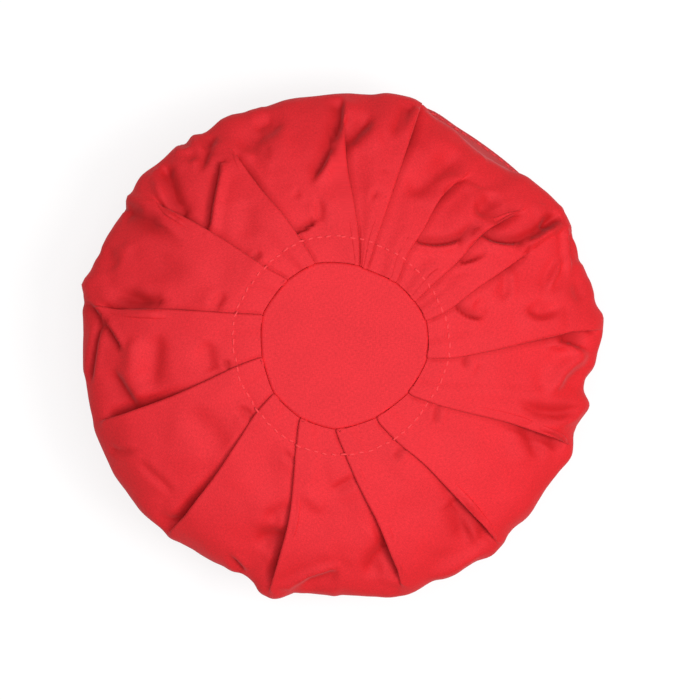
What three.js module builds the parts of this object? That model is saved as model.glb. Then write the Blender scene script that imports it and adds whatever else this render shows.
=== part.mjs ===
// A kufi of red cotton cloth in millimetres, +Z up, resting on the hem of its headband at z = 0.
// A bearing is in degrees clockwise from +Y as seen from above, and a radius is measured from the Z axis.
import * as THREE from "three";

// Heights, walls and gaps
const topZ = 83;
const ringSag = 0.3;
const widestZ = 50;
const bandHeight = 40;
const clothWall = 2;
const bandWall = 2.4;
const clearance = 0.3;
const discDrop = 0.6;
const discCrown = 0.5;

// Shape of the crown's side: how far its slope and its turn under carry their direction
const slopeReach = 0.45;
const slopeFall = 2.5;
const shoulderRise = 16;
const turnUnder = 5;
const seamFlare = 3;
const seamLift = 4;

// Mesh density
const degreesPerColumn = 4;
const ringRows = 2;
const slopeRows = 9;
const underRows = 5;
const bandColumns = 72;
const bandRows = 3;
const discColumns = 60;

const cottonRed = "#dd3a40";
const discRed = "#e23c44";
const bandRed = "#d2353c";

function table(columns, rows) {
  return rows.map((row) => Object.fromEntries(columns.map((name, i) => [name, row[i]])));
}

// One row for each knife pleat, clockwise. The upper layer lies before the fold and the next panel starts
// below it. seamR and ringR are the radii of the disc seam and of the topstitch there, the bearings are those
// of the fold at the seam, at the topstitch and at the fold radii, and the steps are how high the fold stands
// at the topstitch, half way out and near the edge.
const foldRadii = [33.5, 43, 55, 70, 90];
const foldColumns = ["atSeam", "atRing", "at55", "at70", "at90"];
const pleats = table(
  ["seamR", "ringR", ...foldColumns, "ringStep", "midStep", "edgeStep"],
  [
    [32.6, 43.6, 10.4, 7.8, 4.5, 1.2, -0.1, 0.9, 1.8, 1.2],
    [31.8, 42.6, 16.8, 16.9, 17.4, 17.6, 17.8, 0.9, 1.6, 2.0],
    [32.7, 42.2, 39.3, 35.2, 34.4, 33.3, 37.0, 0.9, 2.0, 0.6],
    [34.5, 41.7, 58.1, 55.3, 53.7, 51.5, 52.4, 0.9, 2.0, 0.8],
    [34.3, 42.1, 73.1, 71.4, 67.2, 64.6, 62.3, 0.9, 1.4, 0.4],
    [33.6, 41.9, 98.5, 96.4, 92.7, 89.3, 86.4, 0.9, 1.8, 2.4],
    [31.8, 41.0, 126.0, 122.4, 118.5, 115.2, 113.2, 0.9, 1.8, 2.6],
    [31.4, 41.9, 155.4, 151.1, 146.2, 143.9, 142.1, 0.9, 2.0, 3.2],
    [33.4, 43.6, 185.4, 179.3, 174.1, 169.4, 166.6, 0.9, 2.2, 3.8],
    [34.4, 44.2, 211.2, 205.9, 201.2, 197.8, 197.0, 0.9, 2.4, 4.6],
    [34.0, 43.1, 235.8, 232.9, 228.4, 225.1, 223.2, 0.9, 3.0, 5.0],
    [33.9, 44.0, 262.0, 259.3, 256.0, 253.8, 252.9, 0.9, 2.6, 4.2],
    [34.7, 44.3, 291.3, 287.3, 284.2, 281.9, 280.2, 0.9, 2.4, 3.6],
    [34.6, 45.0, 320.1, 315.5, 312.8, 310.5, 307.6, 0.9, 2.0, 2.8],
    [35.2, 45.8, 341.1, 338.6, 335.6, 332.1, 330.2, 0.9, 2.0, 2.4],
  ],
);

// Corners and hollows of the crown's outline from above, and how far the crown stays inside it there
const outline = table(
  ["bearing", "radius", "inset"],
  [
    [0, 101.0, 0], [15, 102.6, 0.4], [35, 97.8, 1.8], [58, 102.7, 0.4], [71, 100.5, 0], [85, 103.7, 0],
    [99, 97.6, 0], [105, 100.0, 0], [110, 98.6, 0], [116, 100.4, 0], [125, 98.3, 0], [139, 99.3, 0],
    [146, 102.4, 0], [158, 100.1, 0], [170, 102.1, 0], [184, 98.9, 0], [196, 103.0, 0], [207, 99.7, 0],
    [216, 101.0, 0], [228, 104.5, 0], [237, 104.2, 0], [250, 105.2, 0], [262, 104.4, 0], [275, 104.5, 0],
    [285, 107.3, 0], [297, 104.3, 0], [304, 103.8, 0], [310, 106.0, 0], [317, 104.1, 0], [330, 102.6, 0],
    [348, 100.9, 0],
  ],
);

// Radius of the headband's top edge, and how much further out its hem stands
const bandOutline = table(
  ["bearing", "radius", "lean"],
  [
    [0, 92.6, 0.6], [18, 94.6, 2.0], [35, 94.6, 2.8], [54, 94.8, 2.2], [72, 92.2, 0.6], [100, 90.6, 0.3],
    [140, 91.4, 0.3], [180, 92.0, 0.4], [225, 92.4, 0.3], [270, 93.2, 0.3], [315, 92.4, 0.3],
  ],
);

// The main wrinkles between the pleats, as valleys along a bend from a start to an end in the view from above
const wrinkles = table(
  ["startX", "startY", "bendX", "bendY", "endX", "endY", "width", "depth"],
  [
    [-2, 98, -2, 79, -14, 64, 5, 3.4],
    [1, 83, 6, 88, 12, 92, 4, 2.6],
    [19, 84, 23, 89, 27, 96, 4, 3.0],
    [26, 58, 38, 73, 50, 80, 6, 2.0],
    [29, 41, 43, 40, 55, 50, 4, 2.2],
    [55, 44, 71, 38, 84, 51, 5, 3.2],
    [37, 25, 46, 34, 58, 38, 4, 1.8],
    [45, 16, 50, 11, 56, 11, 3.5, 1.4],
    [83, 4, 90, 3, 97, 1, 5, 2.6],
    [70, -22, 79, -27, 93, -25, 7, 2.0],
    [-92, -9, -88, -14, -86, -21, 5, 2.4],
    [-73, 16, -83, 16, -92, 22, 5, 2.8],
    [-87, 55, -75, 50, -64, 40, 6, 2.2],
    [-71, 71, -69, 62, -65, 52, 6, 2.2],
    [-55, 46, -45, 78, -51, 86, 4.5, 2.4],
  ],
);
const wrinkleSteps = 8;

// How much of a pleat's step is left at the widest edge, and how far below it the step has gone
const edgeShare = 0.3;
const stepFade = 12;

// The foot of a step stands clockwise of its crest, and the step's inner side keeps this much wall
const footShift = 1.1;
const wallShift = 0.9;

function smoothstep(low, high, value) {
  return THREE.MathUtils.smoothstep(value, low, high);
}

// A smooth curve through points, each with its slope taken from its neighbours
function throughPoints(xs, ys, x) {
  const last = xs.length - 1;
  if (x <= xs[0]) return ys[0];
  if (x >= xs[last]) return ys[last];
  const i = xs.findIndex((value) => value > x) - 1;
  const slopeAt = (k) => {
    const a = Math.max(k - 1, 0);
    const b = Math.min(k + 1, last);
    return (ys[b] - ys[a]) / (xs[b] - xs[a]);
  };
  const span = xs[i + 1] - xs[i];
  const t = (x - xs[i]) / span;
  const rise = ys[i] * (1 + 2 * t) * (1 - t) ** 2 + ys[i + 1] * t * t * (3 - 2 * t);
  return rise + span * (slopeAt(i) * t * (1 - t) ** 2 - slopeAt(i + 1) * t * t * (1 - t));
}

// The same curve round a table whose rows go once round the compass
function roundTable(rows, column, bearing) {
  const turned = ((bearing % 360) + 360) % 360;
  const before = rows.slice(-2).map((row) => [row.bearing - 360, row[column]]);
  const after = rows.slice(0, 2).map((row) => [row.bearing + 360, row[column]]);
  const all = [...before, ...rows.map((row) => [row.bearing, row[column]]), ...after];
  return throughPoints(all.map((p) => p[0]), all.map((p) => p[1]), turned);
}

function widestRadius(bearing) {
  return roundTable(outline, "radius", bearing) - roundTable(outline, "inset", bearing);
}

function bandRadius(bearing) {
  return roundTable(bandOutline, "radius", bearing);
}

function foldBearing(pleat, radius) {
  return throughPoints(foldRadii, foldColumns.map((name) => pleat[name]), radius);
}

function foldStep(pleat, radius) {
  const edge = widestRadius(pleat.at90);
  const radii = [pleat.seamR, pleat.ringR, 70, 90, edge, edge + stepFade];
  const steps = [pleat.ringStep, pleat.ringStep, pleat.midStep, pleat.edgeStep, pleat.edgeStep * edgeShare, 0];
  return throughPoints(radii, steps, radius);
}

// The crown's side as two curves in a plane through the Z axis: over the slope, then back in to the band
function crownProfile(ringR, edgeR, seamR) {
  const ringZ = topZ - ringSag;
  const slope = new THREE.CubicBezierCurve(
    new THREE.Vector2(ringR, ringZ),
    new THREE.Vector2(THREE.MathUtils.lerp(ringR, edgeR, slopeReach), ringZ - slopeFall),
    new THREE.Vector2(edgeR, widestZ + shoulderRise),
    new THREE.Vector2(edgeR, widestZ),
  );
  const under = new THREE.CubicBezierCurve(
    new THREE.Vector2(edgeR, widestZ),
    new THREE.Vector2(edgeR, widestZ - turnUnder),
    new THREE.Vector2(seamR + seamFlare, bandHeight + seamLift),
    new THREE.Vector2(seamR, bandHeight + clearance),
  );
  return { slope, under };
}

// A point on a profile curve, with the direction square to it that leads out of the hat
function onCurve(curve, t) {
  const point = curve.getPoint(t);
  const along = curve.getTangent(t);
  return { point, outward: new THREE.Vector2(-along.y, along.x) };
}

// Places down one column of the crown, from the disc seam to the band, before folds and wrinkles.
// reach is how far each lies from the Z axis when the cloth beyond the widest edge is laid out flat.
function columnStations(seamR, ringR, bearing) {
  const edgeR = widestRadius(bearing);
  const { slope, under } = crownProfile(ringR, edgeR, bandRadius(bearing));
  const stations = [];
  for (let row = 0; row < ringRows; row += 1) {
    const radius = THREE.MathUtils.lerp(seamR + clearance, ringR, row / ringRows);
    const point = new THREE.Vector2(radius, topZ - (ringSag * row) / ringRows);
    stations.push({ point, outward: new THREE.Vector2(0, 1), reach: radius });
  }
  for (let row = 0; row <= slopeRows; row += 1) {
    const place = onCurve(slope, row / slopeRows);
    stations.push({ ...place, reach: place.point.x });
  }
  for (let row = 1; row <= underRows; row += 1) {
    const place = onCurve(under, row / underRows);
    stations.push({ ...place, reach: edgeR + (under.getLength() * row) / underRows });
  }
  return stations;
}

const valleys = wrinkles.map((row) => ({
  ...row,
  path: new THREE.QuadraticBezierCurve(
    new THREE.Vector2(row.startX, row.startY),
    new THREE.Vector2(row.bendX, row.bendY),
    new THREE.Vector2(row.endX, row.endY),
  ).getPoints(wrinkleSteps),
}));

// How far the wrinkles push the cloth in at a place in the view from above
function wrinkleDepth(x, y) {
  const here = new THREE.Vector2(x, y);
  let depth = 0;
  for (const valley of valleys) {
    let nearest = Infinity;
    let taper = 0;
    valley.path.forEach((point, i) => {
      const distance = point.distanceTo(here);
      if (distance < nearest) {
        nearest = distance;
        taper = Math.sin((Math.PI * (i + 1)) / (wrinkleSteps + 2));
      }
    });
    depth += valley.depth * taper * Math.exp(-((nearest / valley.width) ** 2));
  }
  return depth;
}

function inPlan(bearing, radius) {
  const angle = THREE.MathUtils.degToRad(bearing);
  return [radius * Math.sin(angle), radius * Math.cos(angle)];
}

// One column of the crown between two folds: share 0 is the foot just past the first, share 1 the crest of
// the second. The inner side runs back up the same stations, and slides along a steep step to keep its wall.
function crownColumn(first, second, share) {
  const mix = (name) => THREE.MathUtils.lerp(first[name], second[name], share);
  const spread = (second.at90 - first.at90 + 360) % 360;
  const middle = first.at90 + spread * share;
  const stations = columnStations(mix("seamR"), mix("ringR"), middle);
  const outer = [];
  const inner = [];
  stations.forEach((station, row) => {
    const from = foldBearing(first, station.reach);
    const gap = (foldBearing(second, station.reach) - from + 360) % 360;
    const degreesPerMm = THREE.MathUtils.radToDeg(1 / station.point.x);
    const step = foldStep(second, station.reach);
    const bearing = from + gap * share + footShift * degreesPerMm * (1 - share);
    const rise = step * share ** 1.6;
    const ringHold = smoothstep(42, 50, station.reach);
    const edgeRow = row === stations.length - 1;
    const lift = edgeRow ? 0 : rise - ringHold * wrinkleDepth(...inPlan(bearing, station.reach));
    const atFold = share === 0 || share === 1 ? wallShift * degreesPerMm : 0;
    const place = (height, turn) => {
      const radius = station.point.x + station.outward.x * height;
      const [x, y] = inPlan(bearing - turn, radius);
      return new THREE.Vector3(x, y, edgeRow ? station.point.y : station.point.y + station.outward.y * height);
    };
    outer.push(place(lift, 0));
    inner.unshift(place(lift - clothWall, atFold));
  });
  return [...outer, ...inner];
}

// A closed solid whose cross-section changes as it goes round: each column is one closed loop of points
function solidRound(columns) {
  const count = columns[0].length;
  const points = columns.flat();
  const index = [];
  columns.forEach((_, c) => {
    const here = c * count;
    const next = ((c + 1) % columns.length) * count;
    for (let k = 0; k < count; k += 1) {
      const after = (k + 1) % count;
      index.push(here + k, next + k, next + after, here + k, next + after, here + after);
    }
  });
  const geometry = new THREE.BufferGeometry().setFromPoints(points);
  geometry.setIndex(index);
  geometry.computeVertexNormals();
  return geometry;
}

function pleatedCrownGeometry() {
  const columns = [];
  pleats.forEach((first, i) => {
    const second = pleats[(i + 1) % pleats.length];
    const spread = (second.at70 - first.at70 + 360) % 360;
    const steps = Math.max(3, Math.round(spread / degreesPerColumn) + 1);
    for (let k = 0; k <= steps; k += 1) columns.push(crownColumn(first, second, k / steps));
  });
  return solidRound(columns);
}

// The band leans out a little towards its hem, whose underside is the flat face that rests on the table
function headbandGeometry() {
  const columns = [];
  for (let c = 0; c < bandColumns; c += 1) {
    const bearing = (360 * c) / bandColumns;
    const lean = roundTable(bandOutline, "lean", bearing);
    const loop = [];
    for (let row = 0; row <= bandRows; row += 1) {
      const share = row / bandRows;
      const radius = bandRadius(bearing) + lean * share ** 2;
      const height = bandHeight * (1 - share);
      loop.push(new THREE.Vector3(...inPlan(bearing, radius), height));
    }
    for (let row = bandRows; row >= 0; row -= 1) {
      const { z } = loop[row];
      const radius = Math.hypot(loop[row].x, loop[row].y) - bandWall;
      loop.push(new THREE.Vector3(...inPlan(bearing, radius), z));
    }
    columns.push(loop);
  }
  return solidRound(columns);
}

// The seam's radius at a bearing, straight from the end of one pleat to the next
function seamRadius(bearing) {
  const turned = ((bearing % 360) + 360) % 360;
  const i = pleats.findIndex((pleat, k) => {
    const next = pleats[(k + 1) % pleats.length];
    return (turned - pleat.atSeam + 360) % 360 < (next.atSeam - pleat.atSeam + 360) % 360;
  });
  const first = pleats[i];
  const second = pleats[(i + 1) % pleats.length];
  const share = ((turned - first.atSeam + 360) % 360) / ((second.atSeam - first.atSeam + 360) % 360);
  return THREE.MathUtils.lerp(first.seamR, second.seamR, share);
}

// The disc is a thin round plate, a little fuller in the middle than at its seam
function topDiscGeometry() {
  const edgeZ = topZ - discDrop - discCrown;
  const rings = [0.35, 0.7, 0.93, 1];
  const points = [new THREE.Vector3(0, 0, edgeZ + discCrown), new THREE.Vector3(0, 0, edgeZ - clothWall)];
  const index = [];
  const at = (side, ring, column) => 2 + (side * rings.length + ring) * discColumns + (column % discColumns);
  for (const side of [0, 1]) {
    for (const ring of rings) {
      for (let c = 0; c < discColumns; c += 1) {
        const bearing = (360 * c) / discColumns;
        const [x, y] = inPlan(bearing, (seamRadius(bearing) - clearance) * ring);
        const z = side === 0 ? edgeZ + discCrown * (1 - ring ** 2) : edgeZ - clothWall;
        points.push(new THREE.Vector3(x, y, z));
      }
    }
  }
  const outermost = rings.length - 1;
  for (let c = 0; c < discColumns; c += 1) {
    index.push(0, at(0, 0, c + 1), at(0, 0, c));
    index.push(1, at(1, 0, c), at(1, 0, c + 1));
    for (let ring = 0; ring < outermost; ring += 1) {
      const [a, b, d, e] = [at(0, ring, c), at(0, ring, c + 1), at(0, ring + 1, c), at(0, ring + 1, c + 1)];
      index.push(a, b, e, a, e, d);
      const [f, g, h, i] = [at(1, ring, c), at(1, ring, c + 1), at(1, ring + 1, c), at(1, ring + 1, c + 1)];
      index.push(f, h, i, f, i, g);
    }
    const [a, b, d, e] = [at(0, outermost, c), at(0, outermost, c + 1), at(1, outermost, c), at(1, outermost, c + 1)];
    index.push(a, b, e, a, e, d);
  }
  const geometry = new THREE.BufferGeometry().setFromPoints(points);
  geometry.setIndex(index);
  geometry.computeVertexNormals();
  return geometry;
}

function clothPiece(name, geometry, color) {
  const material = new THREE.MeshStandardMaterial({ color, roughness: 0.85, metalness: 0 });
  const mesh = new THREE.Mesh(geometry, material);
  mesh.name = name;
  return mesh;
}

const kufi = new THREE.Group();
kufi.add(clothPiece("pleated_crown", pleatedCrownGeometry(), cottonRed));
kufi.add(clothPiece("top_disc", topDiscGeometry(), discRed));
kufi.add(clothPiece("headband", headbandGeometry(), bandRed));

export default kufi;
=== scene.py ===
# A red cotton kufi with a pleated crown, lying on a pale floor and seen from straight above.
# Blender units are metres. The tables are in millimetres, and a bearing is in degrees clockwise from +Y.
import math
import random
import bmesh
import bpy
import numpy as np
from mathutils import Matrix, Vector, noise
from mathutils.bvhtree import BVHTree


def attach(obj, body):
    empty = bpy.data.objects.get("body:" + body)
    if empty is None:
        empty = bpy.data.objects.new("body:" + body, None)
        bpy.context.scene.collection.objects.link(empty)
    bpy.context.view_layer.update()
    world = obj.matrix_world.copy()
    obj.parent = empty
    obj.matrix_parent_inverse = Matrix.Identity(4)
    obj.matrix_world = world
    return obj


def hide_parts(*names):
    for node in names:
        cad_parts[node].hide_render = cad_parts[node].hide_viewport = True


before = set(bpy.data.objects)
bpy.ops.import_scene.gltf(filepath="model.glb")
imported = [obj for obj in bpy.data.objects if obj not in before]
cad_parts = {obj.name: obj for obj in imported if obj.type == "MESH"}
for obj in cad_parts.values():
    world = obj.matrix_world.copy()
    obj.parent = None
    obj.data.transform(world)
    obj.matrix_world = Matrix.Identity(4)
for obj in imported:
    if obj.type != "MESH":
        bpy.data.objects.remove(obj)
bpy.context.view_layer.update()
mm = 0.001
print("frame loaded:", sorted(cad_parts))


# Tables of the folds, the outlines, the seam and the wrinkles
def table(columns, rows):
    return {name: np.array([row[i] for row in rows]) for i, name in enumerate(columns.split())}


# a row for each knife pleat, clockwise: radii of the disc seam and the topstitch there, bearings of the fold
# at the seam, the topstitch and 55, 70 and 90 mm, how high its upper layer stands at the topstitch, half way
# and near the edge, the radius where its crease runs out, and how deep and wide its crease is out there
folds = table("name seamR ringR atSeam atRing at55 at70 at90 ringStep midStep edgeStep "
              "creaseEnd creaseDepth creaseWidth", [
    ("A", 32.6, 42.9, 10.4, 7.8, 4.5, 1.2, -0.1, 0.6, 1.6, 0.4, 88, 2.0, 1.2),
    ("B", 31.8, 42.4, 16.8, 16.9, 17.4, 17.6, 17.8, 0.5, 1.6, 1.8, 101, 2.0, 0.9),
    ("C", 32.7, 41.9, 39.3, 35.2, 34.4, 33.3, 37.0, 0.8, 1.4, 0.2, 82, 1.8, 1.2),
    ("D", 33.4, 41.3, 58.1, 55.3, 53.7, 51.2, 52.9, 0.8, 1.8, 0.5, 88, 2.2, 1.4),
    ("E", 34.3, 41.7, 73.1, 71.4, 67.2, 64.6, 62.3, 0.9, 1.4, 0.1, 82, 1.6, 1.0),
    ("F", 33.6, 41.9, 98.5, 96.4, 92.7, 89.3, 86.4, 1.0, 1.8, 2.2, 101, 2.4, 1.1),
    ("G", 31.8, 40.3, 126.0, 122.4, 118.5, 115.2, 113.6, 1.0, 1.8, 2.4, 97, 3.4, 3.2),
    ("H", 31.4, 41.8, 155.4, 151.1, 146.2, 143.9, 142.1, 1.0, 2.0, 3.0, 97, 3.2, 3.6),
    ("I", 33.4, 43.2, 185.4, 179.3, 174.1, 169.4, 166.6, 1.0, 2.2, 3.6, 95, 3.2, 3.4),
    ("J", 33.6, 43.5, 211.2, 205.9, 201.2, 197.8, 197.0, 1.0, 2.4, 4.0, 99, 2.6, 2.4),
    ("K", 33.7, 42.6, 235.8, 232.9, 228.4, 225.1, 223.2, 1.0, 2.8, 4.4, 99, 3.0, 3.0),
    ("L", 33.0, 43.4, 262.0, 259.3, 256.0, 253.8, 252.9, 1.0, 2.4, 3.6, 98, 3.6, 3.8),
    ("M", 34.7, 44.7, 291.3, 287.3, 284.2, 281.9, 279.2, 1.0, 1.8, 2.4, 97, 2.0, 1.4),
    ("N", 34.6, 44.1, 320.1, 315.5, 312.8, 310.5, 307.6, 1.0, 1.8, 1.6, 93, 2.2, 1.2),
    ("O", 34.8, 44.8, 341.1, 338.6, 335.6, 332.1, 330.2, 1.0, 1.8, 1.3, 88, 2.2, 1.0),
])
foldRadii = [33.5, 43, 55, 70, 90]
foldCount = len(folds["name"])

# corners and hollows of the outline from above, and how far the crown stays inside it there
outline = table("bearing radius inset", [
    (0, 101.3, 0), (7, 101.5, 0.2), (16.3, 103.3, 1.0), (20, 101.4, 2.0), (26, 99.4, 2.6), (35, 98.0, 3.0),
    (43, 98.9, 2.6), (48, 101.8, 1.8), (55, 103.6, 1.0), (60, 104.0, 0.9), (66, 103.2, 0.8), (73, 100.1, 0.5),
    (80, 101.6, 0), (84.7, 104.1, 0), (88, 103.0, 0), (94.5, 100.2, 0), (100.5, 96.0, 0), (103.8, 99.9, 0),
    (108, 97.5, 0), (112, 99.0, 0), (115.5, 101.6, 0), (121, 99.6, 0), (127, 97.3, 0), (133, 99.2, 0),
    (138, 99.0, 0), (144.5, 102.9, 0), (150, 101.2, 0), (157, 97.9, 0), (168.2, 103.0, 0), (173, 101.2, 0),
    (184, 96.4, 0), (190, 98.2, 0), (197.2, 104.4, 0), (200.8, 101.2, 0), (207, 98.8, 0), (215, 99.1, 0),
    (226, 103.9, 0), (230, 104.9, 0), (237, 103.8, 0), (249, 104.6, 0), (258, 104.5, 0), (265, 103.5, 0),
    (275, 103.8, 0), (281, 106.4, 0), (283.6, 108.2, 0), (287, 104.9, 0), (293, 103.6, 0), (303, 103.0, 0),
    (309.5, 105.8, 0), (317, 103.8, 0), (322.5, 103.1, 0), (327, 101.2, 0), (332, 102.7, 0), (338, 100.6, 0),
    (348, 99.8, 0),
])

# radius of the headband's top edge, and how much further out its hem stands
bandOutline = table("bearing radius lean", [
    (0, 92.4, 1.0), (18, 94.4, 8.3), (28, 93.4, 7.2), (40, 93.2, 7.0), (53, 94.0, 7.2), (70, 94.6, 6.0),
    (84, 93.0, 2.4), (104, 90.8, 0.3), (140, 91.4, 0.3), (180, 92.0, 0.4), (225, 92.4, 0.3), (270, 93.2, 0.3),
    (315, 92.4, 0.3),
])

# how tightly the disc seam is pulled at each bearing: 0 not at all, 1 to the full depth of its ditch
seamPull = table("bearing depth", [
    (0, 0.35), (40, 0.35), (60, 0.25), (72, 0.5), (86, 0.4), (94, 0.1), (122, 0.1), (134, 0.5), (144, 0.1),
    (166, 0.3), (234, 0.6), (270, 0.4), (310, 0.5),
])

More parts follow.
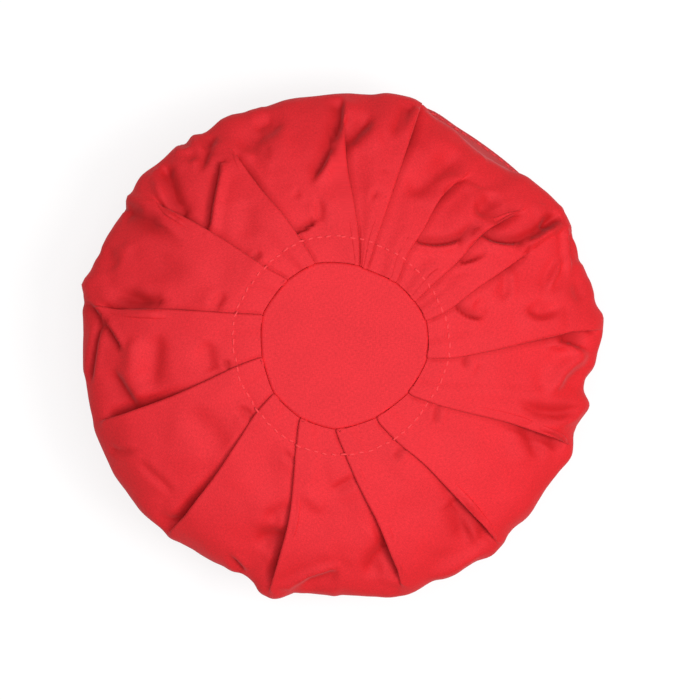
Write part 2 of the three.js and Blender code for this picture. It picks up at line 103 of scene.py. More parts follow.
# wrinkles, each on the panel that follows a fold: start, a point it goes over and end in the view from above,
# half width, depth (below 0 it is a ridge), its steep side (1 left of its way, -1 right), how much shade is
# painted into the colour at its bottom, and the shares over which its ends fade
wrinkles = table("panel startX startY overX overY endX endY width depth side shade fadeIn fadeOut", [
    ("O", -1, 99.5, -4.4, 82, -14.4, 63, 2.7, 3.3, 1, 0.6, 0.1, 0.2),
    ("O", -19.2, 45.1, -14.8, 47, -10, 51, 1.2, 2.6, -1, 1, 0, 0.3),
    ("O", -10.8, 50, -9.6, 54.5, -12, 60, 1.8, 1.2, 0, 0.16, 0.1, 0.5),
    ("O", -41.5, 77, -34, 84.5, -22, 91.5, 4.6, 2.8, -0.5, 0.22, 0.25, 0.3),
    ("O", -38, 76.5, -33, 77, -28, 77.5, 4.2, 1.6, 0, 0.12, 0.3, 0.3),
    ("O", -36.6, 86.4, -32.5, 89.4, -28.5, 91.6, 1.9, 1.4, 0, 0.21, 0.3, 0.3),
    ("O", -20, 58.5, -18.6, 60.5, -17.2, 62.5, 1.2, 1, 0, 0.12, 0.3, 0.5),
    ("N", -54.6, 46.8, -51.6, 62, -48.8, 77.6, 2, 3.1, -1, 0.62, 0, 0.3),
    ("N", -57.4, 67.5, -55.2, 75.5, -53.6, 82.6, 1.8, 2.2, 0, 0.45, 0.4, 0.25),
    ("N", -53.4, 78.5, -53.2, 81.5, -52.8, 84.4, 2.6, 1.6, 0, 0.4, 0.35, 0.35),
    ("N", -71.8, 72.6, -69.4, 61.8, -64.8, 51.6, 2.6, 3.1, -1, 0.62, 0.15, 0),
    ("N", -61.5, 78, -60, 75.5, -58.5, 73.5, 3.2, 1.8, 0, 0.16, 0.3, 0.3),
    ("N", -66, 82, -63.5, 81, -61, 79, 2.6, 1.4, 0, 0.16, 0.3, 0.3),
    ("N", -34.8, 34.6, -34, 36.4, -33, 38.6, 1, 1.6, 0, 0.7, 0, 0.5),
    ("N", -39, 58.5, -39, 50.5, -40, 41.5, 4.5, 1.2, 0, 0.03, 0.3, 0.3),
    ("M", -88.5, 54.6, -79, 51.3, -62, 37.5, 3, 3.2, 1, 0.68, 0.22, 0.45),
    ("M", -94.5, 40, -93, 35, -89.5, 30.5, 3.6, 1.8, 0, 0.12, 0.3, 0.3),
    ("M", -93, 34.5, -77, 31, -58, 29, 6, 2, 0, 0.1, 0.4, 0.4),
    ("M", -51.8, 14.4, -49.5, 18.5, -47.5, 22.5, 1.8, 1.4, 0, 0.21, 0, 0.4),
    ("M", -73.2, 16, -82, 18, -94, 20.4, 2.4, 3.2, 1, 0.9, 0, 0.4),
    ("M", -76, 16.2, -81, 17.2, -87, 18.8, 2, 1.6, 0, 0.75, 0.3, 0.5),
    ("L", -104, 19.4, -94.6, 8.8, -87, -2.8, 1.5, 2.2, 1, 0.75, 0, 0.15),
    ("L", -96.3, 10, -98.6, -2, -101.4, -15.6, 1.1, 1.6, 0, 0.8, 0.05, 0.2),
    ("L", -92.6, -8, -90, -14.6, -85.2, -22.3, 3.3, 2.6, 0.6, 0.5, 0.5, 0),
    ("L", -73.6, 6.2, -74.8, -4, -77.6, -17, 4, 1.8, 0, 0.06, 0.3, 0.2),
    ("L", -82, 4, -82.6, -4, -83.6, -14, 3.2, -1.4, 0, 0, 0.3, 0.3),
    ("L", -54.7, 3, -54.2, -4, -53.2, -11, 2.9, 1.3, 0, 0.12, 0.3, 0.2),
    ("L", -44.2, -9.6, -46.2, -7.2, -48.4, -4.8, 1.1, 2, 0, 0.9, 0, 0.5),
    ("K", -35.6, -30, -38.5, -26.6, -43.5, -24.2, 1.7, 1.7, 0, 0.35, 0, 0.4),
    ("K", -94, -40.6, -86.4, -41.4, -78, -40, 1.2, 1.2, 0, 0.2, 0.25, 0.4),
    ("K", -80, -45, -74, -51.5, -67.8, -59.5, 1.4, 0.9, 0, 0.12, 0.2, 0.2),
    ("K", -73.5, -69.4, -71, -70.2, -67, -71.5, 2.6, 1.8, 0, 0.3, 0.3, 0),
    ("K", -63, -24, -54, -34, -45.5, -44.5, 5.5, 1.4, 0, 0.03, 0.3, 0.3),
    ("J", -40.4, -89.6, -43, -85.5, -46.4, -79.6, 1.1, 1.8, 0, 0.5, 0.05, 0.6),
    ("J", -25, -76.6, -30, -76.8, -36, -79, 4.4, 2.5, 0, 0.42, 0, 0.4),
    ("J", -22, -65.6, -27, -66.6, -32, -69.6, 3.4, 1.8, 0, 0.12, 0, 0.4),
    ("J", -20.4, -45.8, -22.4, -43.6, -25, -41.8, 1.2, 1, 0, 0.16, 0, 0.5),
    ("I", -24.6, -96.6, -14, -89, -0.5, -85.8, 1.6, -1.8, 0, 0, 0.1, 0.25),
    ("I", -17, -94.5, -9, -91, -0.5, -89.5, 3.6, 2.1, 0, 0.16, 0.3, 0.3),
    ("I", 4.2, -52.6, -0.8, -55.6, -6.4, -58.6, 1.7, 1.4, 0, 0.25, 0, 0.4),
    ("I", -18, -56, -12, -60.5, -6.5, -64.5, 2.8, -1, 0, 0, 0.3, 0.3),
    ("I", 17.6, -80.6, 13, -86, 9, -92.6, 3.9, 2.9, 0, 0.3, 0, 0.3),
    ("H", 23.2, -40.8, 21.2, -43.6, 19.8, -46.8, 0.9, 1.5, 0, 0.6, 0, 0.5),
    ("H", 45, -62.6, 47.2, -70.4, 49.6, -80.5, 3.6, 2.8, 1, 0.36, 0, 0.35),
    ("H", 56, -75, 58, -77.2, 60.2, -80.4, 1, 1.6, 0, 0.3, 0.1, 0.5),
    ("H", 32, -91, 45, -86.5, 59, -80.5, 2.4, -1.6, 0, 0, 0.3, 0.3),
    ("G", 37.6, -23.4, 36.7, -27.6, 36.2, -32.4, 0.9, 1.5, 0, 0.6, 0, 0.4),
    ("G", 77, -34.4, 82.5, -36.8, 88.2, -41, 2.1, 2.4, 0.5, 0.7, 0.25, 0.25),
    ("G", 74, -33.4, 75.4, -39, 79.4, -46, 2.9, 2.1, 0, 0.3, 0, 0.35),
    ("F", 80.8, 4.2, 88.6, 2.6, 97.4, -1, 2.2, 3, -1, 0.75, 0.1, 0.25),
    ("F", 84, 3.4, 88, 3.2, 93, 3.4, 1.6, 1.8, 0, 0.25, 0.2, 0.3),
    ("F", 79, -20, 87, -9.4, 98.4, -1.6, 2.8, -3.2, 0, 0, 0.25, 0.25),
    ("F", 86, -17.5, 91, -12, 95.5, -9, 4.4, 1.3, 0, 0.05, 0.3, 0.35),
    ("F", 48.5, -3.6, 48.3, -6.6, 49.4, -10, 0.9, 1.5, 0, 0.7, 0, 0.5),
    ("F", 54.9, -6.8, 53, -10.4, 50.7, -14.4, 1, 0.7, 0, 0.12, 0.2, 0.5),
    ("F", 67, -20.5, 80, -26.8, 95.6, -23.4, 2.4, 2.6, -1, 0.42, 0.45, 0.25),
    ("E", 44.3, 16.6, 49.4, 12.2, 56.4, 11, 1.3, 1.8, -1, 0.8, 0, 0.35),
    ("E", 51, 17, 54.5, 15.5, 58, 14, 3.2, 1.4, 0, 0.08, 0.3, 0.3),
    ("E", 64.4, 28.4, 64.2, 23, 63.4, 16.5, 1.9, 1.4, 1, 0.14, 0, 0.35),
    ("E", 71, 17.4, 77.8, 13, 84.6, 17.6, 3.8, 2.3, -1, 0.16, 0.3, 0.3),
    ("E", 91, 26.6, 92.4, 21.5, 93.8, 16.6, 3.2, 1.4, 0, 0.12, 0.35, 0.35),
    ("E", 88.2, 49, 89.2, 38, 88, 26.5, 1.3, -2.1, 0, 0, 0.2, 0.3),
    ("E", 87.5, 35.1, 83, 28.4, 79.6, 20.5, 1.2, -1.9, 0, 0, 0.2, 0.3),
    ("E", 91.5, 47, 93, 40, 94, 32, 3.4, 2, 0, 0.11, 0.2, 0.2),
    ("D", 35, 24, 37.2, 26.6, 40.4, 29.6, 1.1, 1.4, 0, 0.6, 0, 0.5),
    ("D", 44, 32.9, 49.4, 34, 56.8, 36.4, 1.3, 2.2, -1, 0.7, 0, 0.4),
    ("D", 55.4, 44.6, 70, 42, 86.2, 53, 2.1, 3.2, -1, 0.85, 0, 0.12),
    ("D", 79, 47.2, 82.4, 49.6, 85.4, 53, 3, 2.4, 0, 0.8, 0.35, 0.2),
    ("D", 71.4, 37.6, 73.2, 37.2, 75.4, 36.8, 2.8, 1.4, 0, 0.4, 0.4, 0.4),
    ("C", 29, 42, 43.2, 41.6, 55.8, 50, 1.8, 2.8, -1, 0.8, 0, 0.2),
    ("C", 50.5, 52.6, 56.6, 56, 60.2, 61.4, 3.9, 3.1, 0, 0.35, 0.3, 0.3),
    ("C", 58, 47, 63.5, 51.2, 71, 54.6, 1.9, 1.8, -1, 0.5, 0.3, 0.35),
    ("B", 25, 58.2, 34.5, 68, 48.6, 77.6, 4.6, 2.7, 0, 0.16, 0.3, 0.25),
    ("B", 53, 78.5, 62, 66.8, 67.8, 61, 1.3, -2, 0, 0, 0.3, 0.3),
    ("B", 38.5, 59, 42.5, 62.6, 47.5, 65.6, 1.5, 1.8, 0, 0.35, 0.3, 0.35),
    ("A", 1, 82, 5.6, 87, 12.4, 91.8, 3.3, 3, 0, 0.5, 0, 0.35),
    ("A", 1.2, 87.6, 1.8, 90.4, 2.6, 93.4, 0.8, 0.9, 0, 0.25, 0.2, 0.5),
    ("A", 19.4, 81, 23, 88, 27.2, 96.4, 2.3, 2.5, -1, 0.5, 0.45, 0.1),
    ("A", 10.2, 57.6, 12.4, 60.4, 14.6, 63, 1, 0.9, 0, 0.25, 0.3, 0.5),
    ("A", 14.4, 69.4, 17, 69.8, 19.8, 70.6, 0.9, 0.9, 0, 0.21, 0.3, 0.5),
])


# Curves through the tables
def smoothstep(low, high, value):
    t = np.clip((value - low) / (high - low), 0, 1)
    return t * t * (3 - 2 * t)


def throughPoints(xs, ys, x):
    # a smooth curve whose slope at each point comes from the points beside it
    xs, ys = np.asarray(xs, float), np.asarray(ys, float)
    x = np.clip(x, xs[0], xs[-1])
    last = len(xs) - 1
    before, after = np.maximum(np.arange(last + 1) - 1, 0), np.minimum(np.arange(last + 1) + 1, last)
    slopes = (ys[after] - ys[before]) / (xs[after] - xs[before])
    i = np.clip(np.searchsorted(xs, x, side="right") - 1, 0, last - 1)
    span = xs[i + 1] - xs[i]
    t = (x - xs[i]) / span
    level = ys[i] * (1 + 2 * t) * (1 - t) ** 2 + ys[i + 1] * t * t * (3 - 2 * t)
    return level + span * (slopes[i] * t * (1 - t) ** 2 - slopes[i + 1] * t * t * (1 - t))


def roundTable(rows, column, bearing):
    turns = np.concatenate([rows["bearing"] - 360, rows["bearing"], rows["bearing"] + 360])
    return throughPoints(turns, np.tile(rows[column], 3), np.mod(bearing, 360))


def widestRadius(bearing):
    return roundTable(outline, "radius", bearing) - roundTable(outline, "inset", bearing)


def clockwiseFrom(first, second):
    return np.mod(second - first, 360)


def foldBearing(i, reach):
    bearings = [folds[name][i] for name in ("atSeam", "atRing", "at55", "at70", "at90")]
    return throughPoints(foldRadii, bearings, reach)


def roundFolds(radii, bearings, bearing):
    # the folds' own radii, read at any bearing
    order = np.argsort(np.mod(bearings, 360))
    turns = np.mod(bearings, 360)[order]
    turns = np.concatenate([turns - 360, turns, turns + 360])
    return throughPoints(turns, np.tile(radii[order], 3), np.mod(bearing, 360))


def seamRadius(bearing):
    # the disc's outline: drawn slightly straight between folds
    bearing = np.mod(bearing, 360)
    radius = roundFolds(folds["seamR"], folds["atSeam"], bearing)
    turns = np.sort(np.mod(folds["atSeam"], 360))
    turns = np.concatenate([[turns[-1] - 360], turns, [turns[0] + 360]])
    i = np.clip(np.searchsorted(turns, bearing, side="right") - 1, 0, len(turns) - 2)
    width = turns[i + 1] - turns[i]
    share = (bearing - turns[i]) / width
    return radius * (1 - seamStraightness * (1 - np.cos(np.radians(width) / 2)) * 4 * share * (1 - share))


def ringRadius(bearing):
    return roundFolds(folds["ringR"], folds["atRing"], bearing)


seamStraightness = 0.5  # 0 round, 1 straight from fold to fold
discLap = 0.02  # how far the two cloths press into each other at the seam
seamRoundness = 2.5  # how the cloth on both sides of it curves down into its ditch

# The crown: a long strip of cloth, pleated round the disc and gathered into the band
crownMake = {
    "topZ": 83.0,  # height of the flat ring round the disc
    "edgeDrop": 1.3,  # how far its inner edge turns down into the disc seam
    "ringSag": 0.3,
    "widestZ": 50.0,
    "bandTop": 40.3,
    "slopeReach": 0.45, "slopeFall": 3.5, "shoulderRise": 9.0,  # the side's curve over the slope
    "turnUnder": 5.0, "seamFlare": 3.0, "seamLift": 4.0,  # and back in below it
    "tuckIn": 0.7, "tuckDown": [0.3, 0.9, 1.6],  # its last rows, which lie between the band's two layers
    "tuckReach": [0.8, 1.4, 2.1],
    "ringRows": [0.0, 0.08, 0.25, 0.55, 0.95, 1.5, 2.4, 3.6, 5.0, 6.4, 7.6, 8.5, 9.2, 10.0],
    "ringWidth": 10.0,
    "slopeRows": 50, "underRows": 13, "curvePoints": 65,
    "degreesPerColumn": 0.95, "leastPanelColumns": 4,
    "foldColumns": 19, "foldCentring": 0.45,  # how much closer its columns are in its middle
    "edgeReach": 101.0,  # where a column's own place on the edge is read
    "halfWidths": [2.6, 3.4, 3.8, 4.4, 5.0, 6.0],  # half width of a fold's S at the fold radii and outside
    "outside": 105,
    "foldRoom": 0.36,  # the most of the way to the next fold that it may take
    "openReach": 4.5, "openOver": 6.0,  # how much wider it is where the crease has run out
    "tuckRadii": [44, 55], "tucks": [0.65, 0.6],  # how far the S overlaps, below 0 where it lies open
    "tuckPastEnd": [-8, 0, 5], "tucksPastEnd": [0.5, 0.15, -1.0],  # and round the end of its crease
    "openFrom": 130,
    "bendWidth": 0.16, "openBendWidth": 0.5,  # how softly the cloth bends over, as a share of the S
    "bendTucks": (0.2, -0.9),  # and the overlaps between which it gets softer
    "creaseDepth": 1.1, "creaseWidth": 0.95,  # the gap under the upper layer's edge near the disc
    "creaseShade": 0.76, "shallowShade": 0.5,  # how much shade is painted where little light reaches it, and the share of that near the disc
    "creaseLip": (-0.1, 0.3), "creaseTuck": 0.3,  # how far past the bend and with what overlap it is whole
    "creaseFrom": 58, "creaseFull": 9,  # from there to this far inside its end it takes on the fold's sizes
    "creaseFade": 8, "creaseFaded": 0.5,  # from this far inside its end it fades by this share
    "seamCrease": 0.45, "seamCreaseWidth": 2.8,  # the share of it beside the disc seam, and how far out
    "ditchDepth": 0.17, "ditchWidth": 0.5,  # the rounded edge that turns down into the disc seam
    "grooveDepth": 0.3, "grooveWidth": 0.9,  # where the topstitch draws the layers together
    "ringPuff": 0.25,  # how it swells between the seam and the topstitch
    "panelPuff": 1.0, "puffRadii": (46, 75), "puffWidth": 28,  # how a panel of that many degrees swells
    "riseFrom": 0.55, "riseRadii": (45, 80), "riseWidths": (9, 24),  # where it starts to rise to the next
    "edgeShare": 0.3, "stepFade": 12.0,  # what is left of a step at the widest edge, and how far on it ends
    "heldWidth": 3.5,  # how far out of the topstitch the cloth is still held flat
    "wrinkleDepth": 0.88,  # scale on the wrinkle table's depths
    "wrinkleSwell": 0.1,  # how far the cloth rises beside a wrinkle
    "endNarrowing": 0.4, "steepNarrowing": 0.4,  # how much narrower its ends and its steep side are
    "shadeWidth": 1.25, "wrinklePoints": 13,
    "gathers": 74, "gatherDepth": 0.75,  # small gathers over the band
    "gatherFull": 0.8, "gatherFade": 0.72,  # shares of the way to the band where they are full, and fade
    "gatherMean": 0.55, "gatherHeights": [(0.3, 5, 1), (0.15, 13, 0)],  # waves that make them uneven
    "gatherShifts": [(3, 7, 0), (1.5, 17, 0)],  # in height and in width: size, count round it, phase
    "softness": 0.8, "softnessSize": 14.0,  # slow unevenness of the cloth
    "crumple": 0.2, "crumpleSize": 5.0,
    "heldSoftness": 0.25,  # the share of it inside the topstitch
    "cloth": 0.5,
    "flatLength": 640.0, "flatWidth": 104.0,  # the strip as it was cut
}


def foldStep(i, reach):
    make = crownMake
    edge = widestRadius(folds["at90"][i])
    radii = [folds["seamR"][i], folds["ringR"][i], 70, 90, edge, edge + make["stepFade"]]
    ring, edgeStep = folds["ringStep"][i], folds["edgeStep"][i]
    steps = [ring, ring, folds["midStep"][i], edgeStep, edgeStep * make["edgeShare"], 0]
    return throughPoints(radii, steps, reach)


def foldTuck(i, reach):
    # how far the cloth is turned under itself: above 0 the S overlaps, below 0 it lies open
    make = crownMake
    aboutEnd = [folds["creaseEnd"][i] + past for past in make["tuckPastEnd"]]
    tucks = make["tucks"] + make["tucksPastEnd"] + make["tucksPastEnd"][-1:]
    return throughPoints(make["tuckRadii"] + aboutEnd + [make["openFrom"]], tucks, reach)


def foldReach(i, reach):
    # half width of the S, kept narrow where the next fold is close
    make = crownMake
    end, over = folds["creaseEnd"][i], make["openOver"]
    wanted = throughPoints(foldRadii + [make["outside"]], make["halfWidths"], reach)
    wanted = wanted + make["openReach"] * smoothstep(end - over, end + over, reach)
    here = foldBearing(i, reach)
    before = clockwiseFrom(foldBearing((i - 1) % foldCount, reach), here)
    after = clockwiseFrom(here, foldBearing((i + 1) % foldCount, reach))
    room = make["foldRoom"] * np.radians(np.minimum(before, after)) * reach
    # whichever is less, blended softly
    return wanted * room / (wanted ** 4 + room ** 4) ** 0.25


def foldShape(q, tuck):
    # across a fold: how far along, and how far the crest is from the middle of the S
    along = (q ** 3 - tuck * q) / (1 - tuck)
    turn = np.sqrt(np.maximum(tuck, 0) / 3)
    crest = (2 * np.maximum(tuck, 0) / 3) * turn / (1 - tuck)
    return along, crest, turn


def evenCurve(corners, count):
    # places at even steps along a curve that four points guide, and how far along it they are
    t = np.linspace(0, 1, crownMake["curvePoints"])[:, None]
    p = np.array(corners, float)
    curve = p[0] * (1 - t) ** 3 + 3 * p[1] * t * (1 - t) ** 2
    curve += 3 * p[2] * t * t * (1 - t) + p[3] * t ** 3
    steps = np.concatenate([[0], np.cumsum(np.linalg.norm(np.diff(curve, axis=0), axis=1))])
    wanted = np.linspace(0, steps[-1], count + 1)[1:]
    places = [np.interp(wanted, steps, curve[:, side]) for side in (0, 1)]
    return np.stack(places, 1), wanted


def crownStations(seamR, ringR, bearing):
    # places down one column of the crown before folds: radius, height, direction out, and reach laid flat
    make = crownMake
    edgeR, bandR = float(widestRadius(bearing)), float(roundTable(bandOutline, "radius", bearing))
    ringZ = make["topZ"] - make["ringSag"]
    ring = np.array(make["ringRows"]) / make["ringWidth"]
    ringPart = np.stack([seamR + (ringR - seamR) * ring, make["topZ"] - make["ringSag"] * ring], 1)
    knee = ringR + (edgeR - ringR) * make["slopeReach"]
    slope, _ = evenCurve([(ringR, ringZ), (knee, ringZ - make["slopeFall"]),
                          (edgeR, make["widestZ"] + make["shoulderRise"]), (edgeR, make["widestZ"])],
                         make["slopeRows"])
    under, beyond = evenCurve([(edgeR, make["widestZ"]), (edgeR, make["widestZ"] - make["turnUnder"]),
                               (bandR + make["seamFlare"], make["bandTop"] + make["seamLift"]),
                               (bandR, make["bandTop"])], make["underRows"] - len(make["tuckDown"]))
    tuck = [(bandR - make["tuckIn"], make["bandTop"] - down) for down in make["tuckDown"]]
    beyond = np.concatenate([beyond, beyond[-1] + np.array(make["tuckReach"])])
    points = np.concatenate([ringPart, slope, under, tuck])
    along = np.gradient(points, axis=0)
    along /= np.linalg.norm(along, axis=1)[:, None]
    reach = np.concatenate([ringPart[:, 0], slope[:, 0], edgeR + beyond])
    stations = np.stack([points[:, 0], points[:, 1], -along[:, 1], along[:, 0], reach])
    turnedDown = stations[:, :1] - np.array([[0], [make["edgeDrop"]], [0], [0], [0]])
    return np.concatenate([turnedDown, stations], 1)


def crownColumns():
    # each column's fold or panel and its place across it, with more columns where the fold bends over
    q = np.linspace(-1, 1, crownMake["foldColumns"])
    q = q * (1 - crownMake["foldCentring"] + crownMake["foldCentring"] * np.abs(q))
    columns = []
    for i in range(foldCount):
        columns += [(i, "fold", value) for value in q]
        spread = clockwiseFrom(folds["at90"][i], folds["at90"][(i + 1) % foldCount])
        count = max(crownMake["leastPanelColumns"], round(spread / crownMake["degreesPerColumn"]) - 3)
        columns += [(i, "panel", step / (count + 1)) for step in range(1, count + 1)]
    return columns


def columnBearing(i, kind, place, reach):
    # where a column lies round the crown at one reach or at many
    around = np.degrees(1 / reach)
    half, tuck = foldReach(i, reach), foldTuck(i, reach)
    along, crest, _ = foldShape(place if kind == "fold" else 1.0, tuck)
    start = foldBearing(i, reach) + half * (along - crest) * around
    if kind == "fold":
        return start
    follows = (i + 1) % foldCount
    along, crest, _ = foldShape(-1.0, foldTuck(follows, reach))
    end = foldBearing(follows, reach) + foldReach(follows, reach) * (along - crest) * around
    return start + clockwiseFrom(start, end) * place


def layFold(i, place, reach):
    # how high the cloth stands down a column that crosses a fold, and how much shade is painted into its
    # colour
    make = crownMake
    half, tuck, end = foldReach(i, reach), foldTuck(i, reach), folds["creaseEnd"][i]
    along, crest, turn = foldShape(place, tuck)
    soft = make["bendWidth"] + make["openBendWidth"] * smoothstep(*make["bendTucks"], tuck)
    drop = smoothstep(-turn - soft, -turn + soft, place) + smoothstep(turn - soft, turn + soft, place)
    out = smoothstep(make["creaseFrom"], end - make["creaseFull"], reach)
    out *= 1 - make["creaseFaded"] * smoothstep(end - make["creaseFade"], end + 1, reach)
    gap = np.maximum(half * (along - crest), 0)
    gap /= make["creaseWidth"] + (folds["creaseWidth"][i] - make["creaseWidth"]) * out
    deep = make["creaseDepth"] * folds["ringStep"][i]
    deep = deep + (folds["creaseDepth"][i] - deep) * out
    seamShare = make["seamCrease"]
    deep *= seamShare + (1 - seamShare) * smoothstep(0.3, make["seamCreaseWidth"], reach - reach[0])
    under = smoothstep(*make["creaseLip"], place - turn) * smoothstep(0, make["creaseTuck"], tuck)
    under = under * np.exp(-gap ** 2)
    lift = foldStep(i, reach) * (1 - drop / 2) - deep * under
    shallow = make["shallowShade"]
    return lift, make["creaseShade"] * under * (shallow + (1 - shallow) * out)


def layPanel(i, place, reach):
    # how high the cloth stands down a column between two folds: it rises to the next one, and swells
    make = crownMake
    follows = (i + 1) % foldCount
    width = clockwiseFrom(foldBearing(i, reach), foldBearing(follows, reach))
    riseFrom = make["riseFrom"] * (1 - smoothstep(*make["riseRadii"], reach))
    riseFrom = riseFrom * smoothstep(*make["riseWidths"], width)
    puff = make["panelPuff"] * math.sin(math.pi * place) ** 2
    lift = foldStep(follows, reach) * smoothstep(riseFrom, 1, place)
    return lift + puff * smoothstep(*make["puffRadii"], reach) * width / make["puffWidth"]


def layCrownOut():
    # every column's places, and how much of each panel's wrinkles it takes
    columns = crownColumns()
    rows = 1 + len(crownMake["ringRows"]) + crownMake["slopeRows"] + crownMake["underRows"]
    radius, height, outR, outZ, reach, bearing, lift, shade = np.zeros((8, len(columns), rows))
    panelWeight = np.zeros((foldCount, len(columns)))
    for c, (i, kind, place) in enumerate(columns):
        edgeBearing = float(columnBearing(i, kind, place, np.full(1, crownMake["edgeReach"]))[0])
        atSeam, atRing = (columnBearing(i, kind, place, folds[name][i]) for name in ("seamR", "ringR"))
        seamR, ringR = float(seamRadius(atSeam)) - discLap, float(ringRadius(atRing))
        radius[c], height[c], outR[c], outZ[c], reach[c] = crownStations(seamR, ringR, edgeBearing)
        bearing[c] = columnBearing(i, kind, place, reach[c])
        if kind == "fold":
            lift[c], shade[c] = layFold(i, place, reach[c])
            after = float(smoothstep(-0.5, 0.5, place))
            panelWeight[i, c] = after
            panelWeight[(i - 1) % foldCount, c] = 1 - after
        else:
            lift[c] = layPanel(i, place, reach[c])
            panelWeight[i, c] = 1
    return columns, radius, height, outR, outZ, reach, bearing, lift, panelWeight, shade


def wrinkleAt(row, x, y):
    # how deep a wrinkle is at each place, with the swell beside it, and how much shade is painted into its
    # colour
    make = crownMake
    start, over, end = (np.array([wrinkles[name + "X"][row], wrinkles[name + "Y"][row]])
                        for name in ("start", "over", "end"))
    bend = 2 * over - (start + end) / 2
    t = np.linspace(0, 1, make["wrinklePoints"])[:, None]
    path = start * (1 - t) ** 2 + 2 * bend * t * (1 - t) + end * t * t
    nearest = np.full(x.shape, np.inf)
    along, left = np.zeros(x.shape), np.zeros(x.shape)
    for k, (fromX, fromY) in enumerate(path[:-1]):
        dx, dy = path[k + 1] - path[k]
        part = np.clip(((x - fromX) * dx + (y - fromY) * dy) / (dx * dx + dy * dy), 0, 1)
        distance = np.hypot(x - fromX - part * dx, y - fromY - part * dy)
        closer = distance < nearest
        nearest = np.where(closer, distance, nearest)
        along = np.where(closer, (k + part) / (len(path) - 1), along)
        left = np.where(closer, np.sign(dx * (y - fromY) - dy * (x - fromX)), left)
    fadeIn, fadeOut = max(wrinkles["fadeIn"][row], 0.001), max(wrinkles["fadeOut"][row], 0.001)
    taper = smoothstep(-0.001, fadeIn, along) * smoothstep(-0.001, fadeOut, 1 - along)
    steep = wrinkles["side"][row] * left
    narrowing = 1 - make["endNarrowing"] + make["endNarrowing"] * taper
    away = nearest / (wrinkles["width"][row] * narrowing * (1 - make["steepNarrowing"] * steep))
    swell = make["wrinkleSwell"] * (1 + steep) * away ** 2 * np.exp(1 - away ** 2 / 4)
    depth = make["wrinkleDepth"] * wrinkles["depth"][row] * taper * (np.exp(-away ** 2) - swell)
    return depth, wrinkles["shade"][row] * taper * np.exp(-(away / make["shadeWidth"]) ** 2)


def pressWrinkles(lift, shade, flatX, flatY, panelWeight, free):
    # each wrinkle on the columns of its own panel
    names = list(folds["name"])
    for row, panel in enumerate(wrinkles["panel"]):
        weight = panelWeight[names.index(panel)][:, None]
        on = weight[:, 0] > 0
        depth, dim = wrinkleAt(row, flatX[on], flatY[on])
        lift[on] -= depth * weight[on] * free[on]
        shade[on] = np.maximum(shade[on], dim * weight[on] * free[on])


def cottonUnevenness(x, y, z):
    make = crownMake
    soft = np.zeros(x.shape)
    for index in np.ndindex(x.shape):
        place = Vector((x[index], y[index], z[index]))
        soft[index] = make["softness"] * noise.noise(place / make["softnessSize"])
        soft[index] += make["crumple"] * noise.noise(place / make["crumpleSize"])
    return soft


def waves(rows, turn):
    return sum(size * np.sin(count * turn + phase) for size, count, phase in rows)


def gatherRipple(bearing):
    # small gathers, uneven in width and in height
    make, turn = crownMake, np.radians(bearing)
    height = make["gatherMean"] + waves(make["gatherHeights"], turn)
    return height * np.sin(make["gathers"] * turn + waves(make["gatherShifts"], turn))


def shapeCrown():
    # where the cloth goes: columns round it, rows outwards, and the shade painted into its colour
    make = crownMake
    columns, radius, height, outR, outZ, reach, bearing, lift, panelWeight, shade = layCrownOut()
    angle = np.radians(bearing)
    flatX, flatY = reach * np.sin(angle), reach * np.cos(angle)
    ringRow = len(make["ringRows"])
    fromSeam, fromRing = reach - reach[:, :1], reach - reach[:, ringRow:ringRow + 1]
    free = smoothstep(0, make["heldWidth"], fromRing)  # 0 where the topstitch holds the cloth flat
    pressWrinkles(lift, shade, flatX, flatY, panelWeight, free)
    print("crown:", len(columns), "columns,", radius.shape[1], "rows,", len(wrinkles["panel"]), "wrinkles")
    softness = make["heldSoftness"] + (1 - make["heldSoftness"]) * free
    lift += cottonUnevenness(flatX, flatY, height) * softness
    ditch = make["ditchDepth"] * np.maximum(roundTable(seamPull, "depth", bearing), 0)
    lift -= ditch * np.clip(1 - fromSeam / make["ditchWidth"], 0, 1) ** seamRoundness
    lift -= make["grooveDepth"] * np.exp(-((fromRing / make["grooveWidth"]) ** 2))
    lift += make["ringPuff"] * np.sin(np.pi * np.clip(fromSeam / make["ringWidth"], 0, 1)) ** 2
    under = np.linspace(0, 1, make["underRows"])
    below = smoothstep(0, make["gatherFull"], under) * smoothstep(1, make["gatherFade"], under)
    lift[:, -make["underRows"]:] += make["gatherDepth"] * gatherRipple(bearing[:, -1:]) * below
    lift[:, 0] = 0
    lift[:, -len(make["tuckDown"]):] = 0
    spread = radius + outR * lift
    place = np.stack([spread * np.sin(angle), spread * np.cos(angle), height + outZ * lift], 2)
    return columns, place, shade


def unrollCrown(columns, place):
    # the flat strip's own coordinates, which the weave follows
    steps = np.linalg.norm(np.diff(place, axis=1), axis=2)
    down = np.concatenate([np.zeros((len(columns), 1)), np.cumsum(steps, axis=1)], 1)
    alongStrip = np.cumsum(np.linalg.norm(place - np.roll(place, 1, axis=0), axis=2), axis=0)
    panel = np.array([(i if kind == "panel" or share >= 0 else i - 1) % foldCount
                      for i, kind, share in columns])
    for i in range(foldCount):
        # each panel's threads run straight down its middle
        toMiddle = [c for c, column in enumerate(columns) if column[:2] == (i, "panel") and column[2] <= 0.5]
        middle = alongStrip[toMiddle[-1]]
        alongStrip[panel == i] -= middle - middle.mean()
    return np.stack([alongStrip, down], 2)


